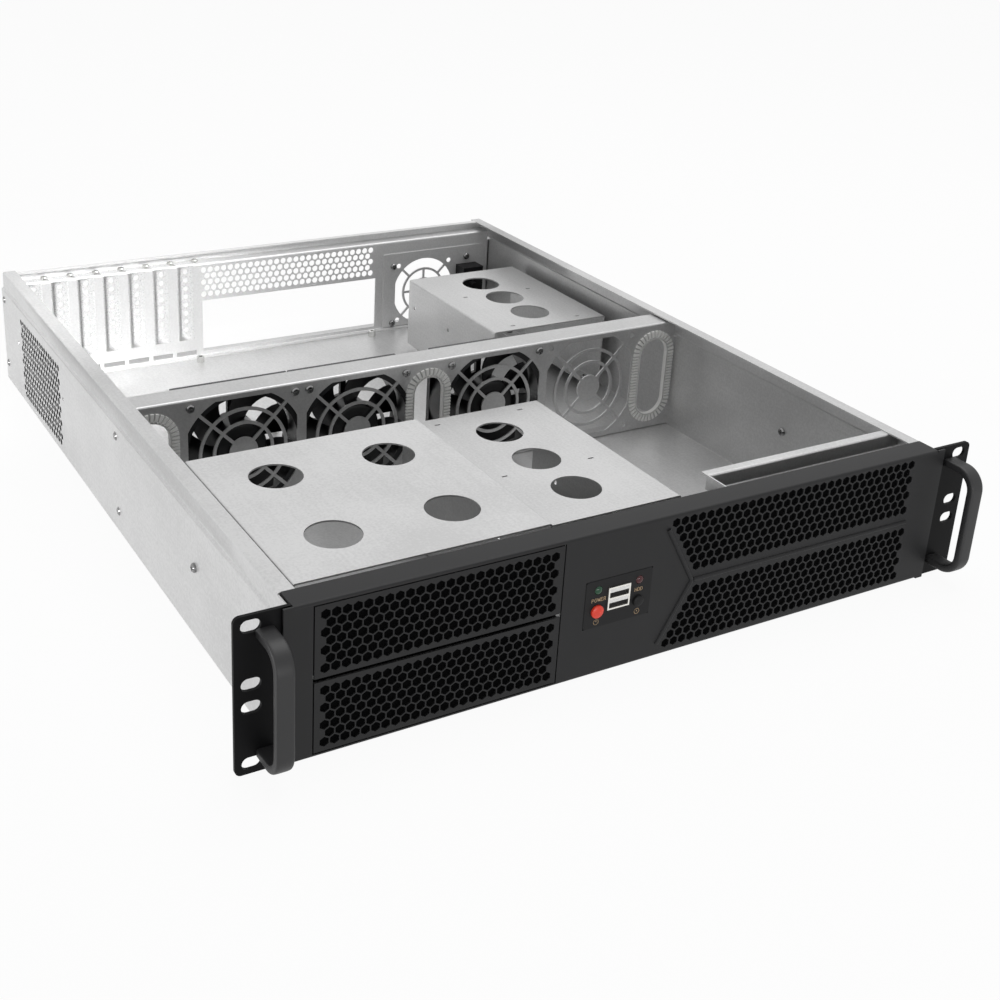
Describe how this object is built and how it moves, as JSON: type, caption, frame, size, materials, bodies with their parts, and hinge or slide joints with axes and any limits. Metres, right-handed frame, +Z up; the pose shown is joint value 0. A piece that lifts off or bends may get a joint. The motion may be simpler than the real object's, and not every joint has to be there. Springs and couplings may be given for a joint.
{
  "type": "empty rackmount server case",
  "caption": "Open-top rackmount server case of folded steel with a perforated black front, rack ears, bow handles, drive cages, fan wall and slotted rear panel.",
  "frame": {"origin": "middle of the rectangle the case covers, handles included, at the underside of the floor", "axes": "+X to the right seen from the front, +Y from the front to the rear, +Z up"},
  "size_m": [0.4826, 0.57, 0.0881],
  "materials": {
    "zinc_sheet": "satin zinc-plated steel sheet",
    "rear_sheet": "satin zinc-plated steel sheet",
    "partition_sheet": "satin zinc-plated steel sheet",
    "cage_sheet": "satin zinc-plated steel sheet",
    "bright_steel": "bright plated spring steel",
    "black_powder_coat": "fine textured matt powder coat on steel",
    "white_nylon": "white toothed nylon edging",
    "black_fan_plastic": "black glass-filled plastic",
    "black_moulding": "black moulded plastic",
    "red_button": "red plastic cap",
    "green_lens": "tinted lamp lens",
    "red_lens": "tinted lamp lens",
    "socket_metal": "nickel-plated socket shells",
    "circuit_board": "green circuit board with black switches",
    "steel_post": "nickel-plated hexagon posts",
    "black_foam": "open-cell black filter foam",
    "screw_steel": "zinc-plated screws and rivets"
  },
  "bodies": {
    "case": {"bay_cover_lower": "black_powder_coat", "bay_cover_upper": "black_powder_coat", "board_standoffs": "screw_steel", "cable_edging_left": "white_nylon", "cable_edging_middle": "white_nylon", "cable_edging_right": "white_nylon", "chassis_tray": "zinc_sheet", "control_plate": "black_moulding", "disk_led": "red_lens", "dust_filter_lower": "black_foam", "dust_filter_right": "black_foam", "dust_filter_upper": "black_foam", "ear_left": "black_powder_coat", "ear_right": "black_powder_coat", "fan_frame_1": "black_fan_plastic", "fan_frame_2": "black_fan_plastic", "fan_frame_3": "black_fan_plastic", "fan_screws": "screw_steel", "fan_wall": "partition_sheet", "floor_rivets": "screw_steel", "front_bracket": "cage_sheet", "front_panel": "black_powder_coat", "handle_left": "black_powder_coat", "handle_right": "black_powder_coat", "handle_screws": "screw_steel", "hard_disk_cage": "cage_sheet", "mains_inlet": "black_moulding", "mains_inlet_screws": "screw_steel", "power_led": "green_lens", "psu_cage": "cage_sheet", "psu_cage_posts": "steel_post", "psu_cage_screws": "screw_steel", "psu_plate": "rear_sheet", "psu_plate_screws": "screw_steel", "rear_panel": "rear_sheet", "slot_cover_1": "bright_steel", "slot_cover_2": "bright_steel", "slot_cover_3": "bright_steel", "slot_cover_4": "bright_steel", "slot_cover_5": "bright_steel", "slot_cover_6": "bright_steel", "slot_cover_7": "bright_steel", "slot_cover_screws": "screw_steel", "switch_board": "circuit_board", "usb_ports": "socket_metal", "wall_rivets": "screw_steel", "wall_screws": "screw_steel", "wide_drive_cage": "cage_sheet"},
    "fan_rotor_1": {"fan_rotor_1": "black_fan_plastic"},
    "fan_rotor_2": {"fan_rotor_2": "black_fan_plastic"},
    "fan_rotor_3": {"fan_rotor_3": "black_fan_plastic"},
    "power_button": {"power_button": "red_button"},
    "reset_button": {"reset_button": "black_moulding"}
  },
  "joints": [
    {"name": "fan_1_spin", "type": "hinge", "parent": "case", "child": "fan_rotor_1", "pos_m": [-0.1326, 0.0072, 0.0435], "axis": [0, 1, 0], "continuous": true},
    {"name": "fan_2_spin", "type": "hinge", "parent": "case", "child": "fan_rotor_2", "pos_m": [-0.0511, 0.0072, 0.0435], "axis": [0, 1, 0], "continuous": true},
    {"name": "fan_3_spin", "type": "hinge", "parent": "case", "child": "fan_rotor_3", "pos_m": [0.0559, 0.0072, 0.0435], "axis": [0, 1, 0], "continuous": true},
    {"name": "power_button_press", "type": "slide", "parent": "case", "child": "power_button", "axis": [0, 1, 0], "range_m": [0, 0.0012], "stiffness_N_per_m": 800},
    {"name": "reset_button_press", "type": "slide", "parent": "case", "child": "reset_button", "axis": [0, 1, 0], "range_m": [0, 0.0012], "stiffness_N_per_m": 800}
  ]
}
